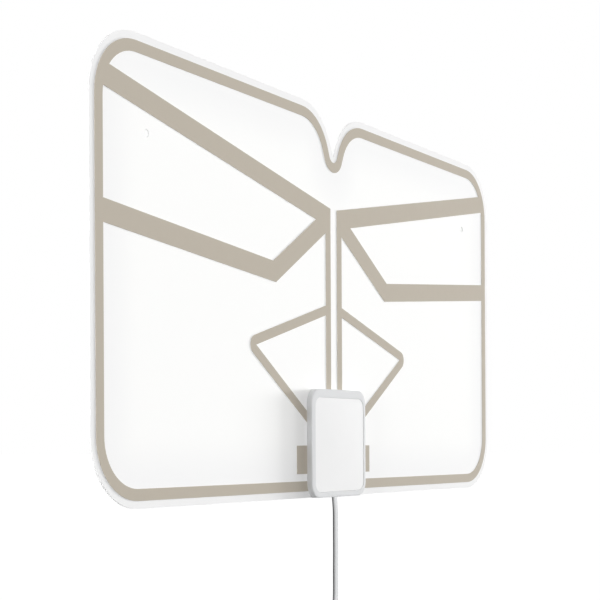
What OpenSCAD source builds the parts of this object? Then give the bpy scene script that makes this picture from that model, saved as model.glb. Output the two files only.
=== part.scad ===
// Flat amplified TV antenna: a notched film sheet with printed conductors,
// a small amplifier housing clamped on its lower edge and a thin coax lead.
// Front is -Y, up is +Z, and the origin lies midway between the two hanging
// holes on the back of the film.

/* [Film sheet] */
// Width of the film
film_w = 370; // [350:1:390]
// Height of the film
film_h = 190; // [184:1:200]
// Thickness of the film
film_t = 0.5; // [0.3:0.05:0.8]
// Radius of the film's four corners
corner_r = 29; // [20:1:34]
// Distance between the two hanging holes
hole_spacing = 298.8; // [270:0.2:310]
// Diameter of a hanging hole
hole_d = 3; // [2:0.2:5]
// Distance from the top edge down to the hanging holes
hole_drop = 39; // [34:1:48]

/* [Notch in the top edge] */
// Depth of the notch
notch_depth = 22.4; // [18:0.2:26]
// Distance from the middle to the centre of each rounded shoulder
shoulder_x = 29.3; // [28.6:0.1:32]
// Radius of each rounded shoulder
shoulder_r = 29; // [24:0.5:29]
// Radius at the root of the notch
notch_root_r = 0.9; // [0.5:0.1:2]

/* [Printed conductors] */
// Thickness of the printed metal
foil_t = 0.15; // [0.1:0.05:0.2]
// Bare margin between the film's edge and the conductor loop
edge_margin = 3.2; // [2:0.1:5]
// Width of the conductor loop that follows the edge
loop_band = 4.8; // [3:0.1:7]
// Width of the wide arms
arm_band = 9.4; // [7:0.1:11]
// Width of the narrow lines
fine_band = 4.5; // [3.5:0.1:5.5]
// Gap between the two feed lines
feed_gap = 6.3; // [4.8:0.1:7]
// Height where the upper arms' middle lines would meet
upper_arm_z = 136; // [132:1:140]
// Rise of the upper arms
upper_arm_deg = 10.7; // [8:0.1:13]
// Height where the middle lines of the falling arms would meet
vee_arm_z = 139.3; // [136:0.5:142]
// Fall of the arms that lead down to the elbows
vee_arm_deg = 32.1; // [28:0.5:36]
// Height where the lower arms' middle lines would meet
lower_arm_z = 100.4; // [96:0.5:104]
// Rise of the lower arms
lower_arm_deg = 5.15; // [3:0.05:8]
// Height where the middle lines of the kite's top would meet
kite_top_z = 93.3; // [90:0.5:96]
// Fall of the kite's top lines
kite_top_deg = 16.2; // [14:0.2:19]
// Height where the middle lines of the kite's lower sides would meet
kite_side_z = 21.4; // [20.5:0.1:22.5]
// Rise of the kite's lower sides
kite_side_deg = 33.6; // [32:0.2:35]
// Half the reach of the coupling patches
patch_reach = 35.5; // [31:0.5:40]
// Height of the coupling patches
patch_h = 13.5; // [10:0.5:14]
// Height of the coupling patches' lower edge
patch_z = 11.5; // [10.5:0.5:12]

/* [Amplifier housing] */
// Width of the housing
box_w = 52.6; // [50:0.2:56]
// Height of the housing
box_h = 52.6; // [52:0.2:58]
// Radius of the housing's corners
box_r = 7; // [5:0.5:8]
// How far the housing stands out in front of the film
front_depth = 3.4; // [3.3:0.1:5]
// How far the housing stands out behind the film
rear_depth = 4; // [3.9:0.1:6]
// How far the housing hangs below the film's lower edge
box_drop = 0.2; // [0:0.1:1]
// Thickness of the housing's side walls
wall = 1.2; // [1:0.1:1.6]
// Width of the rounding along the outer edges
edge_round_w = 2.6; // [1:0.1:3]
// Depth of the rounding along the outer edges
edge_round_d = 0.6; // [0.4:0.1:1.8]

/* [Front inlay] */
// Distance from the housing's sides to the inlay
inlay_side = 2.6; // [2.3:0.1:4]
// Distance from the housing's top to the inlay
inlay_top = 4.2; // [2.3:0.1:6]
// Distance from the housing's bottom to the inlay
inlay_bottom = 2.7; // [2.3:0.1:5]
// Radius of the inlay's corners
inlay_r = 4.8; // [3:0.1:6]
// Thickness of the inlay
inlay_t = 0.6; // [0.4:0.1:0.7]
// How far the inlay's face lies below the rim
inlay_sink = 0.2; // [0.1:0.05:0.3]

/* [Board and parts on it] */
// Width of the circuit board
board_w = 38; // [36:0.5:42]
// Height of the circuit board
board_h = 32; // [31:0.5:34]
// Thickness of the circuit board
board_t = 0.8; // [0.6:0.1:1]
// Gap between the back of the board and the front of the film
board_gap = 0.75; // [0.65:0.05:0.9]
// Height of the board's lower edge
board_z = 9.5; // [9:0.1:9.9]
// Width of the shield can
can_w = 13; // [10:0.5:14]
// Height of the shield can on the board
can_h = 8; // [6:0.5:8.5]
// Depth of the shield can off the board
can_d = 2.2; // [1.6:0.1:2.6]
// Outer size of the twin-hole ferrite core along the board
core_w = 5; // [4:0.5:6]
// Depth of the ferrite core off the board
core_d = 3; // [2.4:0.1:3.4]

/* [Screws] */
// Radius of the screws' thread
screw_r = 1; // [0.8:0.05:1.1]
// Radius of the screws' heads
head_r = 1.9; // [1.6:0.1:2]
// Height of the screws' heads
head_h = 1.3; // [1:0.1:1.4]
// Distance of the upper screws from the middle
upper_screw_x = 20.5; // [19.5:0.1:20.8]
// Height of the upper screws
upper_screw_z = 46.5; // [45:0.1:47]
// Distance of the lower screws from the middle
lower_screw_x = 12.6; // [12:0.1:13]
// Height of the lower screws
lower_screw_z = 13.8; // [13.6:0.1:14.2]

/* [Coax lead] */
// Diameter of the lead's jacket
cable_d = 2.5; // [2.2:0.05:2.6]
// Diameter over the lead's braid
braid_d = 1.96; // [1.7:0.02:2]
// Diameter of the lead's insulation
dielectric_d = 1.52; // [1.3:0.02:1.6]
// Diameter of the lead's inner conductor
conductor_d = 0.5; // [0.4:0.02:0.6]
// Wall of the crimped ferrule on the lead
ferrule_wall = 0.55; // [0.4:0.05:0.6]
// Length of the crimped ferrule
ferrule_l = 4; // [3:0.5:4.5]
// Turns of the stored coil across its thickness
coil_columns = 4; // [2:1:6]
// Turns of the stored coil along its radius
coil_layers = 4; // [2:1:5]
// Mean radius of the stored coil
coil_mean_r = 14; // [13:0.5:15]

/* [Plug] */
// Diameter of the plug's moulded body
plug_d = 11.5; // [10.5:0.5:13]
// Length of the plug's moulded body
plug_l = 22; // [18:1:28]
// Diameter of the plug's outer contact
sleeve_d = 9.5; // [9:0.1:9.6]
// Length of the plug's outer contact outside the body
sleeve_l = 9; // [8:0.5:11]
// Diameter of the plug's centre pin
pin_d = 2.3; // [2:0.1:2.4]

/* [Hidden] */
$fn = 48;

// Clearance between parts that pass each other
clear = 0.1;
// Small overrun that keeps cut faces from coinciding
over = 0.01;
// Degrees between the points of a drawn arc
arc_step = 6;

hole_z = film_h - hole_drop;
film_front = film_t;
foil_front = film_t + foil_t;
front_face = film_t + front_depth;
box_z0 = -box_drop;
box_z1 = box_h - box_drop;
box_mid_z = (box_z0 + box_z1) / 2;

// Depths in front of the film's back, counted forwards
inlay_face = front_face - inlay_sink;
inlay_seat = inlay_face - inlay_t;
front_floor_t = 0.8;
front_floor = inlay_seat - front_floor_t;
board_back = film_front + board_gap;
board_front = board_back + board_t;
rear_floor = rear_depth - wall;
head_seat = rear_depth - head_h - 0.2;

// Cut-out in the film inside the housing
window_half_w = 16;
window_z0 = 10;
window_z1 = 25.6;
pad_z = 27;
pad_w = 11;
pad_h = 8;
patch_inner_x = window_half_w + 1.5;
loop_gap_margin = 1;

// Screw bosses, and the spigots that carry the board
boss_r = 2.6;
spigot_r = 1.75;
pilot_r = screw_r + 0.05;
pilot_floor_t = 0.3;
screw_pass_r = screw_r + clear;
head_pass_r = head_r + 0.2;
tip_gap = 0.2;
drive_w = 0.5;
drive_l = 2.2;
drive_depth = 0.7;

// Ribs that the board's front face lies on
rest_w = 2;
rest_l = 10;
rest_inset = 2;

// The lead's way into the housing, and its stripped end
cable_r = cable_d / 2;
cable_y = -film_t / 2;
ferrule_r = cable_r + ferrule_wall;
ferrule_z = box_z0 + wall + clear;
saddle_t = 1;
saddle_side = 2;
slot_half_w = ferrule_r + 0.25;
jacket_end_z = board_z - 1.5;
braid_end_z = jacket_end_z + 5;
dielectric_end_z = braid_end_z + 1;
conductor_end_z = dielectric_end_z + 0.6;
clamp_t = 0.25;
clamp_l = 2;
clamp_foot = 1.2;
clamp_z = board_z + 0.6;

// Parts on the back of the board
parts_z = 20.7;
can_x = -4.5;
can_wall = 0.2;
chip_size = [3, 3, 0.9];
core_x = 8;
core_h = 4;
core_bore_r = 0.7;
wire_r = 0.25;
wire_end_l = 0.7;
capacitor_size = [1.6, 0.8, 0.8];
capacitor_x = [-5.1, -1.7, 1.7, 5.1];
capacitor_z = parts_z - 5.1;
inductor_size = [1.6, 1, 0.9];
inductor_x = 4.1;
inductor_z = [parts_z - 1.4, parts_z + 1.4];

// Leaf of a contact spring: foot on the board, bow, flat on the pad and tip
leaf_t = 0.15;
leaf_w = 2.5;
leaf_foot_l = 3.5;
leaf_bow_l = 4;
leaf_flat_l = 1.3;
leaf_tip_l = 1;
leaf_z = pad_z + pad_h + 4;

// Lead and tail as points on their middle lines, in the part's own frame
lead_route = [[0, -0.25, -143], [0, -0.25, -149], [0, -0.25, -151.5],
              [0, -0.4, -153], [0, -0.6, -155], [0, -0.8, -158],
              [0, -0.8, -162], [0, -0.8, -168], [0, -0.8, -174],
              [0, -0.8, -180], [0, -0.7, -186], [0, -0.7, -192],
              [0, -0.7, -197], [0, -0.6, -201], [0, -0.4, -204],
              [0, 0, -207], [0, 0.5, -210], [0, 0.8, -213],
              [0, 1, -216], [0, 1, -219], [0, 1, -223]];
tail_route = [[0, -6.5, -229], [0, -6.5, -234], [0, -6.5, -239],
              [0, -6.5, -246]];
tube_sides = 8;

coil_r_out = coil_mean_r + coil_layers * cable_r;
coil_r_in = coil_mean_r - coil_layers * cable_r;
coil_y1 = lead_route[len(lead_route) - 1][1] + cable_r;
coil_y0 = coil_y1 - coil_columns * cable_d;
coil_x = -(coil_r_out - cable_r);
coil_top_cut_z = lead_route[len(lead_route) - 1][2];
coil_low_cut_z = tail_route[0][2];
coil_z = (coil_top_cut_z + coil_low_cut_z) / 2;
tie_t = 0.8;
tie_w = 4;
tie_corner_r = 1.2;

// Plug, with distances counted down from the top of its strain relief
plug_y = tail_route[len(tail_route) - 1][1];
plug_top = tail_route[len(tail_route) - 1][2];
relief_l = 6;
relief_r = 2.4;
relief_taper = 0.4;
shoulder_l = 4;
shoulder_round = 1.2;
body_bevel = 0.8;
groove_count = 5;
groove_w = 0.8;
groove_depth = 0.4;
groove_step = 2;
body_end = relief_l + plug_l;
sleeve_wall = 0.5;
sleeve_seat = 3;
sleeve_neck = 0.4;
sleeve_bevel = 0.3;
seat_r = sleeve_d / 2 - sleeve_neck;
seat_z = body_end - sleeve_seat;
sleeve_end = body_end + sleeve_l;
insulator_t = 2.8;
pin_out = 1;
pin_bevel = 0.6;

// Points on an arc about c, from angle a0 to a1
function arc(c, r, a0, a1) =
    let (n = max(2, ceil(abs(a1 - a0) / arc_step)))
    [for (k = [0:n]) c + r * [cos(a0 + (a1 - a0) * k / n), sin(a0 + (a1 - a0) * k / n)]];

// Angle of the straight flank that joins a shoulder to the notch's root
function flank_angle(root, shoulder) =
    let (v = shoulder - root)
    atan2(v[1], v[0]) - acos((shoulder_r + notch_root_r) / norm(v));

// Outline of the sheet, drawn inside its edge by the inset i
function outline(i) =
    let (x = film_w / 2 - corner_r, r = corner_r - i,
         root = [0, film_h - notch_depth + notch_root_r],
         shoulder = [shoulder_x, film_h - shoulder_r],
         far = [-shoulder_x, film_h - shoulder_r],
         a = flank_angle(root, shoulder))
    concat(
        arc([-x, corner_r], r, 180, 270),
        arc([x, corner_r], r, 270, 360),
        arc([x, film_h - corner_r], r, 0, 90),
        arc(shoulder, shoulder_r - i, 90, a + 180),
        arc(root, notch_root_r + i, a, -180 - a),
        arc(far, shoulder_r - i, -a, 90),
        arc([-x, film_h - corner_r], r, 90, 180));

// A straight edge as [height at the middle, slope], shifted sideways by s
function edge(z, deg, s) = [z + s / cos(deg), tan(deg)];
function edge_at(e, x) = [x, e[0] + e[1] * x];
function meet(a, b) = edge_at(a, (b[0] - a[0]) / (a[1] - b[1]));

// Points of a rounded rectangle from its lower left and upper right corners
function rounded(x0, y0, x1, y1, r) =
    concat(arc([x0 + r, y0 + r], r, 180, 270), arc([x1 - r, y0 + r], r, 270, 360),
           arc([x1 - r, y1 - r], r, 0, 90), arc([x0 + r, y1 - r], r, 90, 180));

// A strip of thickness t laid along the points p, as one outline
function unit(v) = v / norm(v);
function side_of(p, k) =
    let (a = p[max(k - 1, 0)], b = p[min(k + 1, len(p) - 1)], d = unit(b - a))
    [-d[1], d[0]];
function strip(p, t) =
    concat([for (k = [0:len(p) - 1]) p[k] + side_of(p, k) * t / 2],
           [for (k = [len(p) - 1:-1:0]) p[k] - side_of(p, k) * t / 2]);

// Moves what is measured from the film's lower edge into the part's frame
module from_lower_edge() translate([0, 0, -hole_z]) children();

// Turns a flat shape of (x, height) into a sheet whose back lies at depth y
module sheet(back, t)
    translate([0, -back, 0]) rotate([90, 0, 0]) linear_extrude(t) children();

// A rod along Y at (x, z), between two depths in front of the film's back
module rod(x, z, r, back, front)
    translate([x, -back, z]) rotate([90, 0, 0]) cylinder(r = r, h = front - back);

// A closed tube of straight-sided rings along a route that runs downwards
module cord(route, r) {
    n = len(route);
    points = [for (k = [0:n - 1], s = [0:tube_sides - 1])
        route[k] + r * [cos(360 * s / tube_sides), sin(360 * s / tube_sides), 0]];
    side_faces = [for (k = [0:n - 2], s = [0:tube_sides - 1])
        let (t = (s + 1) % tube_sides)
        [k * tube_sides + s, (k + 1) * tube_sides + s,
         (k + 1) * tube_sides + t, k * tube_sides + t]];
    top = [for (s = [0:tube_sides - 1]) s];
    low = [for (s = [tube_sides - 1:-1:0]) (n - 1) * tube_sides + s];
    polyhedron(points, concat([top], side_faces, [low]));
}

// Section of the housing's rounded edge, from its middle line outwards
function edge_section(depth) =
    concat([[0, 0], [box_r, 0]],
           [for (a = [0:15:90]) [box_r - edge_round_w * (1 - cos(a)),
                                 depth - edge_round_d * (1 - sin(a))]],
           [[0, depth]]);

// Housing half: a flat back on z = 0 and a face with rounded edges at z = depth
module pillow(depth) {
    x = box_w / 2 - box_r;
    y = box_h / 2 - box_r;
    section = edge_section(depth);
    for (q = [0:3])
        translate([(q == 0 || q == 3) ? x : -x, q < 2 ? y : -y, 0])
            rotate(90 * q) rotate_extrude(angle = 90) polygon(section);
    for (m = [0, 1]) {
        mirror([m, 0, 0]) translate([x, y, 0])
            rotate([90, 0, 0]) linear_extrude(2 * y) polygon(section);
        mirror([0, m, 0]) translate([-x, y, 0])
            rotate([90, 0, 90]) linear_extrude(2 * x) polygon(section);
    }
    translate([-x, -y, 0]) cube([2 * x, 2 * y, depth]);
}

// Inside of the housing as a flat shape, kept a wall away from its outline
module cavity()
    polygon(rounded(-box_w / 2 + wall, box_z0 + wall,
                    box_w / 2 - wall, box_z1 - wall, box_r - wall));

module screw_places(upper, lower) {
    for (side = [-1, 1]) {
        if (upper) translate([side * upper_screw_x, 0, upper_screw_z]) children();
        if (lower) translate([side * lower_screw_x, 0, lower_screw_z]) children();
    }
}

// A rib across the cavity's lower end that the lead and its ferrule pass
module saddle(back, front)
    translate([-ferrule_r - saddle_side, -front, ferrule_z + ferrule_l + clear])
        cube([2 * (ferrule_r + saddle_side), front - back, saddle_t]);

// The way of the lead through the lower wall, and the pocket of its ferrule
module cable_way() {
    translate([0, cable_y, box_z0 - 1]) cylinder(r = cable_r + clear, h = jacket_end_z);
    translate([0, cable_y, ferrule_z - clear / 2])
        cylinder(r = ferrule_r + clear, h = ferrule_l + clear);
}

module carrier_film() color("#f5f5f4") from_lower_edge()
    difference() {
        sheet(0, film_t) polygon(outline(0));
        for (side = [-1, 1])
            rod(side * hole_spacing / 2, hole_z, hole_d / 2, -1, film_t + 1);
        screw_places(true, false) rod(0, 0, screw_pass_r, -1, film_t + 1);
        sheet(-1, film_t + 2)
            polygon(rounded(-window_half_w, window_z0, window_half_w, window_z1, 1.5));
        translate([-slot_half_w, -film_t - 1, -1])
            cube([2 * slot_half_w, film_t + 2, window_z0 + 2]);
    }

// The right wide arms as one outline: out from the hub, and down to the elbow
module wide_arms() {
    x0 = feed_gap / 2;
    far = film_w / 2;
    upper_top = edge(upper_arm_z, upper_arm_deg, arm_band / 2);
    upper_low = edge(upper_arm_z, upper_arm_deg, -arm_band / 2);
    vee_top = edge(vee_arm_z, -vee_arm_deg, arm_band / 2);
    vee_low = edge(vee_arm_z, -vee_arm_deg, -arm_band / 2);
    lower_top = edge(lower_arm_z, lower_arm_deg, arm_band / 2);
    lower_low = edge(lower_arm_z, lower_arm_deg, -arm_band / 2);
    intersection() {
        polygon(outline(edge_margin + loop_band / 2));
        polygon([edge_at(upper_top, x0), edge_at(upper_top, far),
                 edge_at(upper_low, far), meet(upper_low, vee_top),
                 meet(vee_top, lower_top), edge_at(lower_top, far),
                 edge_at(lower_low, far), meet(lower_low, vee_low),
                 edge_at(vee_low, x0)]);
    }
}

// The right side of the kite, its outer corner rounded about the inner one
module kite_line() {
    start = feed_gap / 2 + fine_band / 2;
    end = feed_gap / 2 + pad_w - 1;
    top_out = edge(kite_top_z, -kite_top_deg, fine_band / 2);
    top_in = edge(kite_top_z, -kite_top_deg, -fine_band / 2);
    side_in = edge(kite_side_z, kite_side_deg, fine_band / 2);
    side_out = edge(kite_side_z, kite_side_deg, -fine_band / 2);
    corner = meet(top_in, side_in);
    polygon(concat(
        [edge_at(top_out, start)],
        arc(corner, fine_band, 90 - kite_top_deg, kite_side_deg - 90),
        [edge_at(side_out, end), edge_at(side_in, end), corner, edge_at(top_in, start)]));
}

// The right feed line, from inside the arms down to the contact spring's pad
module feed_line() {
    top = vee_arm_z - arm_band / 2;
    polygon([[feed_gap / 2, pad_z], [feed_gap / 2 + pad_w, pad_z],
             [feed_gap / 2 + pad_w, pad_z + pad_h],
             [feed_gap / 2 + fine_band, pad_z + pad_h],
             [feed_gap / 2 + fine_band, top], [feed_gap / 2, top]]);
}

// The loop that follows the film's edge, open where the lead comes in
module edge_loop() difference() {
    polygon(outline(edge_margin));
    polygon(outline(edge_margin + loop_band));
    translate([-slot_half_w - loop_gap_margin, 0])
        square([2 * (slot_half_w + loop_gap_margin), window_z0]);
}

module printed_element() color("#bdb4a8") from_lower_edge() {
    sheet(film_front, foil_t) edge_loop();
    for (m = [0, 1]) mirror([m, 0, 0]) {
        sheet(film_front, foil_t) wide_arms();
        sheet(film_front, foil_t) feed_line();
        sheet(film_front, foil_t) kite_line();
    }
}

module coupling_patches() color("#bdb4a8") from_lower_edge()
    sheet(film_front, foil_t)
        for (m = [0, 1]) mirror([m, 0])
            translate([patch_inner_x, patch_z])
                square([patch_reach - patch_inner_x, patch_h]);

module front_shell() color("#e3e4e5") from_lower_edge()
    difference() {
        union() {
            difference() {
                translate([0, -foil_front, box_mid_z]) rotate([90, 0, 0])
                    pillow(front_face - foil_front);
                sheet(foil_front - 1, front_floor - foil_front + 1) cavity();
            }
            screw_places(true, false) rod(0, 0, boss_r, film_front, front_floor + over);
            screw_places(false, true) rod(0, 0, boss_r, board_front, front_floor + over);
            screw_places(false, true) rod(0, 0, spigot_r, board_back, front_floor);
            board_rests();
            saddle(foil_front, front_floor + over);
        }
        sheet(inlay_seat, inlay_t + inlay_sink + 1) inlay_shape(0);
        screw_places(true, false)
            rod(0, 0, pilot_r, film_front - 1, inlay_seat - pilot_floor_t);
        screw_places(false, true)
            rod(0, 0, pilot_r, board_back - 1, inlay_seat - pilot_floor_t);
        cable_way();
    }

module board_rests()
    for (side = [-1, 1])
        translate([side * (board_w / 2 - rest_inset - rest_w / 2) - rest_w / 2,
                   -front_floor - over, board_z + board_h - rest_inset - rest_l])
            cube([rest_w, front_floor - board_front + over, rest_l]);

module inlay_shape(gap)
    polygon(rounded(-box_w / 2 + inlay_side + gap, box_z0 + inlay_bottom + gap,
                    box_w / 2 - inlay_side - gap, box_z1 - inlay_top - gap,
                    inlay_r - gap));

module front_inlay() color("#f0f0f0") from_lower_edge()
    sheet(inlay_seat, inlay_t) inlay_shape(clear);

module rear_shell() color("#dcdddf") from_lower_edge()
    difference() {
        union() {
            difference() {
                translate([0, 0, box_mid_z]) mirror([0, 1, 0]) rotate([90, 0, 0])
                    pillow(rear_depth);
                sheet(-rear_floor, rear_floor + 1) cavity();
            }
            screw_places(true, false) rod(0, 0, boss_r, -rear_floor - over, 0);
            screw_places(false, true) rod(0, 0, boss_r, -rear_floor - over, board_back);
            saddle(-rear_floor - over, 0);
        }
        screw_places(true, true) rod(0, 0, screw_pass_r, -rear_depth - 1, board_back + 1);
        screw_places(true, true) rod(0, 0, head_pass_r, -rear_depth - 1, -head_seat);
        cable_way();
    }

module housing_screws() color("#b9bcc0") from_lower_edge()
    screw_places(true, true) difference() {
        union() {
            rod(0, 0, head_r, -head_seat - head_h, -head_seat);
            rod(0, 0, screw_r, -head_seat - over, inlay_seat - pilot_floor_t - tip_gap);
        }
        for (turn = [0, 90])
            translate([0, head_seat + head_h, 0]) rotate([0, turn, 0])
                cube([drive_w, 2 * drive_depth, drive_l], center = true);
    }

module amplifier_board() color("#2f6b4a") from_lower_edge()
    difference() {
        sheet(board_back, board_t)
            polygon(rounded(-board_w / 2, board_z, board_w / 2, board_z + board_h, 1.5));
        screw_places(false, true)
            rod(0, 0, spigot_r + clear, board_back - 1, board_front + 1);
    }

// A bowed leaf: its foot lies on the board, and its flat presses on a pad
module contact_spring(side) {
    lift = board_back - foil_front - leaf_t;
    bow_z = leaf_z - leaf_foot_l;
    flat_z = bow_z - leaf_bow_l - leaf_flat_l;
    path = concat(
        [[leaf_z, 0], [leaf_z - leaf_foot_l / 2, 0], [bow_z, 0]],
        [for (k = [1:5]) [bow_z - leaf_bow_l * k / 5, lift * sin(18 * k)]],
        [[flat_z, lift], [flat_z - leaf_tip_l, lift * 0.75]]);
    translate([side * (feed_gap / 2 + pad_w / 2) - leaf_w / 2, 0, 0])
        rotate([90, 0, 90]) linear_extrude(leaf_w)
            polygon([for (p = strip(path, leaf_t)) [-board_back + leaf_t / 2 + p[1], p[0]]]);
}

module contact_spring_left() color("#d9b36a") from_lower_edge() contact_spring(-1);

module contact_spring_right() color("#d9b36a") from_lower_edge() contact_spring(1);

// A block on the back of the board, by its middle and [width, height, depth]
module on_board(x, z, size)
    translate([x - size[0] / 2, -board_back, z - size[1] / 2])
        cube([size[0], size[2], size[1]]);

module shield_can() color("#c4c6c8") from_lower_edge()
    difference() {
        on_board(can_x, parts_z, [can_w, can_h, can_d]);
        translate([0, -over, 0])
            on_board(can_x, parts_z, [can_w - 2 * can_wall, can_h - 2 * can_wall,
                                      can_d - can_wall + over]);
    }

module amplifier_chip() color("#26282b") from_lower_edge()
    on_board(can_x, parts_z, chip_size);

module balun_core() color("#3c3d40") from_lower_edge()
    difference() {
        on_board(core_x, parts_z, [core_w, core_h, core_d]);
        for (side = [-1, 1])
            translate([core_x + side * core_w / 4, core_d / 2 - board_back, parts_z - core_h])
                cylinder(r = core_bore_r, h = 2 * core_h);
    }

// Two wire hairpins through the core, with their ends down on the board
module balun_windings() color("#b5652e") from_lower_edge()
    for (side = [-1, 1]) {
        x = core_x + side * core_w / 4;
        y = core_d / 2 - board_back;
        reach = core_h / 2 + wire_end_l;
        translate([x, y, parts_z - reach]) cylinder(r = wire_r, h = 2 * reach);
        for (end = [-1, 1]) {
            translate([x, y, parts_z + end * reach]) sphere(r = wire_r);
            translate([x, -board_back, parts_z + end * reach])
                rotate([-90, 0, 0]) cylinder(r = wire_r, h = core_d / 2);
        }
    }

module chip_capacitors() color("#b08b5e") from_lower_edge()
    for (x = capacitor_x) on_board(x, capacitor_z, capacitor_size);

module chip_inductors() color("#8f9499") from_lower_edge()
    for (z = inductor_z) on_board(inductor_x, z, inductor_size);

// A saddle over the braid with a foot on the board at each side
module braid_clamp() color("#c9b27c") from_lower_edge() {
    depth = board_back + cable_y;
    r0 = braid_d / 2;
    r1 = r0 + clamp_t;
    foot = r1 + clamp_foot;
    translate([0, cable_y, clamp_z]) difference() {
        union() {
            cylinder(r = r1, h = clamp_l);
            translate([-r1, -depth, 0]) cube([2 * r1, depth, clamp_l]);
            translate([-foot, -depth, 0]) cube([2 * foot, clamp_t, clamp_l]);
        }
        translate([0, 0, -1]) cylinder(r = r0, h = clamp_l + 2);
        translate([-r0, -depth - 1, -1]) cube([2 * r0, depth + 1, clamp_l + 2]);
    }
}

// A round length along the lead's middle line, hollow when r0 is over zero
module along_lead(r0, r1, z0, z1)
    translate([0, cable_y, z0]) difference() {
        cylinder(r = r1, h = z1 - z0);
        if (r0 > 0) translate([0, 0, -1]) cylinder(r = r0, h = z1 - z0 + 2);
    }

module cable_ferrule() color("#b9bcc0") from_lower_edge()
    along_lead(cable_r, ferrule_r, ferrule_z, ferrule_z + ferrule_l);

module cable_braid() color("#b87a4b") from_lower_edge()
    along_lead(dielectric_d / 2, braid_d / 2, jacket_end_z, braid_end_z);

module cable_dielectric() color("#f2f2ee") from_lower_edge()
    along_lead(conductor_d / 2, dielectric_d / 2, jacket_end_z, dielectric_end_z);

module cable_conductor() color("#c7843f") from_lower_edge() {
    r = conductor_d / 2;
    along_lead(0, r, jacket_end_z, conductor_end_z);
    translate([0, cable_y, conductor_end_z]) sphere(r = r);
    translate([0, -board_back, conductor_end_z]) rotate([-90, 0, 0])
        cylinder(r = r, h = board_back + cable_y);
}

module coax_lead() color("#dadbdc") cord(lead_route, cable_r);

module coax_tail() color("#dadbdc") cord(tail_route, cable_r);

// The stored turns as one ring, notched where the lead comes in and goes out
module coax_coil() color("#dadbdc") difference() {
    translate([coil_x, coil_y1, coil_z]) rotate([90, 0, 0])
        rotate_extrude($fn = 60)
            translate([coil_r_in, 0])
                square([coil_r_out - coil_r_in, coil_y1 - coil_y0]);
    lead_channel(lead_route[len(lead_route) - 1], 1);
    lead_channel(tail_route[0], -1);
}

// The straight way beside the ring's outermost turn, up or down from p
module lead_channel(p, way) {
    half = cable_r + clear;
    translate([p[0] - half, p[1] - half, p[2] - (way < 0 ? coil_r_out : 0)])
        cube([2 * half + clear, 2 * half, coil_r_out]);
}

// A strap round the bundle where the lead leaves the ring
module coil_tie() color("#c8c9ca") {
    x0 = coil_x + sqrt(pow(coil_r_in, 2) - pow(tie_w / 2, 2)) - clear;
    x1 = coil_x + coil_r_out + clear;
    y0 = coil_y0 - clear;
    y1 = coil_y1 + clear;
    translate([0, 0, coil_z - tie_w / 2]) linear_extrude(tie_w) difference() {
        polygon(rounded(x0 - tie_t, y0 - tie_t, x1 + tie_t, y1 + tie_t, tie_corner_r));
        polygon(rounded(x0, y0, x1, y1, clear));
    }
}

// A turned shape on the plug's axis, from (radius, distance below its top)
module plug_turned(section)
    translate([0, plug_y, plug_top]) mirror([0, 0, 1]) rotate_extrude() polygon(section);

module plug_body() color("#e0e1e2") {
    grip_r = plug_d / 2;
    difference() {
        plug_turned([[0, 0], [relief_r - relief_taper, 0], [relief_r, relief_l],
                     [grip_r - shoulder_round, relief_l + shoulder_l / 4],
                     [grip_r, relief_l + shoulder_l], [grip_r, body_end - body_bevel],
                     [grip_r - body_bevel, body_end], [seat_r, body_end],
                     [seat_r, seat_z], [0, seat_z]]);
        for (k = [1:groove_count])
            translate([0, plug_y, plug_top - relief_l - shoulder_l - groove_step * (k + 1)])
                difference() {
                    cylinder(r = grip_r + 1, h = groove_w);
                    cylinder(r = grip_r - groove_depth, h = groove_w);
                }
    }
}

// The outer contact, drawn in where it sits in the body
module plug_sleeve() color("#c9cbcd") {
    r = sleeve_d / 2;
    neck_end = body_end + sleeve_bevel;
    plug_turned([[seat_r - sleeve_wall, seat_z], [seat_r, seat_z], [seat_r, neck_end],
                 [r, neck_end + sleeve_bevel], [r, sleeve_end - sleeve_bevel],
                 [r - sleeve_bevel, sleeve_end], [r - sleeve_wall, sleeve_end],
                 [r - sleeve_wall, neck_end + sleeve_bevel],
                 [seat_r - sleeve_wall, neck_end]]);
}

module plug_insulator() color("#f1f1ec")
    plug_turned([[pin_d / 2, seat_z], [seat_r - sleeve_wall, seat_z],
                 [seat_r - sleeve_wall, seat_z + insulator_t],
                 [pin_d / 2, seat_z + insulator_t]]);

module plug_pin() color("#d8b25f") {
    r = pin_d / 2;
    end = sleeve_end + pin_out;
    plug_turned([[0, seat_z], [r, seat_z], [r, end - pin_bevel], [r - pin_bevel, end],
                 [0, end]]);
}

carrier_film();
printed_element();
coupling_patches();
front_shell();
front_inlay();
rear_shell();
housing_screws();
amplifier_board();
contact_spring_left();
contact_spring_right();
shield_can();
amplifier_chip();
balun_core();
balun_windings();
chip_capacitors();
chip_inductors();
braid_clamp();
cable_ferrule();
cable_braid();
cable_dielectric();
cable_conductor();
coax_lead();
coax_tail();
coax_coil();
coil_tie();
plug_body();
plug_sleeve();
plug_insulator();
plug_pin();
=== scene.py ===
"""Looks of a flat amplified television antenna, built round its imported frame.

The antenna hangs from two pins: a white film sheet with printed conductors, a
small amplifier housing clamped on its lower edge, and a thin coax lead. Sizes
are in millimetres until a mesh is made, but for the lead's route and the
studio, which are in metres. Front is -Y, up is +Z, and the origin lies midway
between the hanging holes.
"""

import logging
import math
from abc import ABC, abstractmethod
from dataclasses import dataclass
from enum import Enum
from functools import partial
from typing import Iterable, Optional, Sequence, Union

import bmesh
import bpy
import numpy as np
from mathutils import Matrix, Vector


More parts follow.
